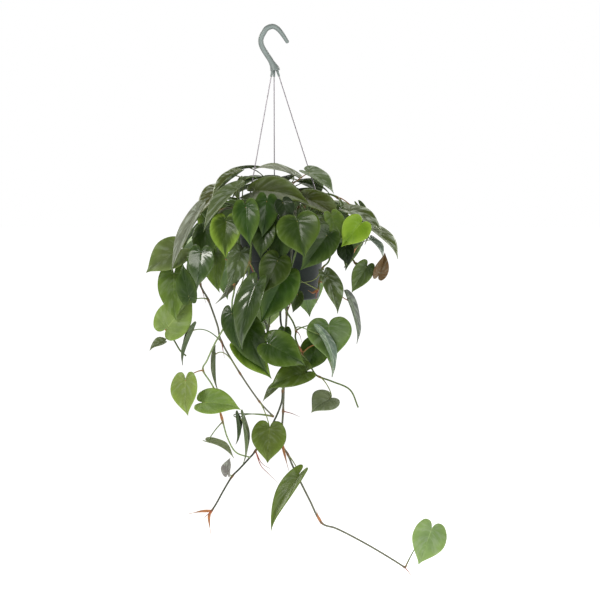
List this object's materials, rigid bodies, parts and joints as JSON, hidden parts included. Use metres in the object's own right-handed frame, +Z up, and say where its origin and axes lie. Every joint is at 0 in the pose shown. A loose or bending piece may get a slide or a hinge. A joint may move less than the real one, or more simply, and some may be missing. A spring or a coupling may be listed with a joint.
{
  "type": "hanging potted philodendron",
  "caption": "Heartleaf philodendron with leafy trailing stems, rooted in soil in a tapered plastic pot that hangs from a plastic hook by thin wires.",
  "frame": {"origin": "where a rail or ceiling hook bears on the underside of the hook's crown", "axes": "+Z up, +X to the right seen from the front, which is the side with the long trailing stems, and -Y towards that viewer"},
  "size_m": [0.4444, 0.3236, 0.8204],
  "materials": {
    "hook_plastic": "satin moulding",
    "wire_steel": "dull drawn wire",
    "pot_plastic": "satin moulding",
    "potting_soil": "damp crumbs",
    "leaf_green": "waxy leaf"
  },
  "bodies": {
    "root": {"hanger_hook": "hook_plastic", "hanger_wire_right": "wire_steel", "hanger_wire_left": "wire_steel", "hanger_wire_back": "wire_steel", "pot": "pot_plastic", "soil": "potting_soil", "stem_crown_top": "leaf_green", "stem_crown_front": "leaf_green", "stem_crown_front_left": "leaf_green", "stem_crown_front_right": "leaf_green", "stem_crown_left": "leaf_green", "stem_right_edge": "leaf_green", "stem_crown_right": "leaf_green", "stem_long_left": "leaf_green", "stem_light_left": "leaf_green", "stem_front_dark": "leaf_green", "stem_long_right": "leaf_green", "stem_right_front": "leaf_green", "stem_right_side": "leaf_green", "stem_low_left": "leaf_green", "stem_back_a": "leaf_green", "stem_back_b": "leaf_green", "stem_back_c": "leaf_green", "stem_back_d": "leaf_green", "stem_back_e": "leaf_green", "stem_back_f": "leaf_green", "stem_back_g": "leaf_green", "stem_back_h": "leaf_green", "stem_crown_back": "leaf_green"}
  },
  "joints": []
}
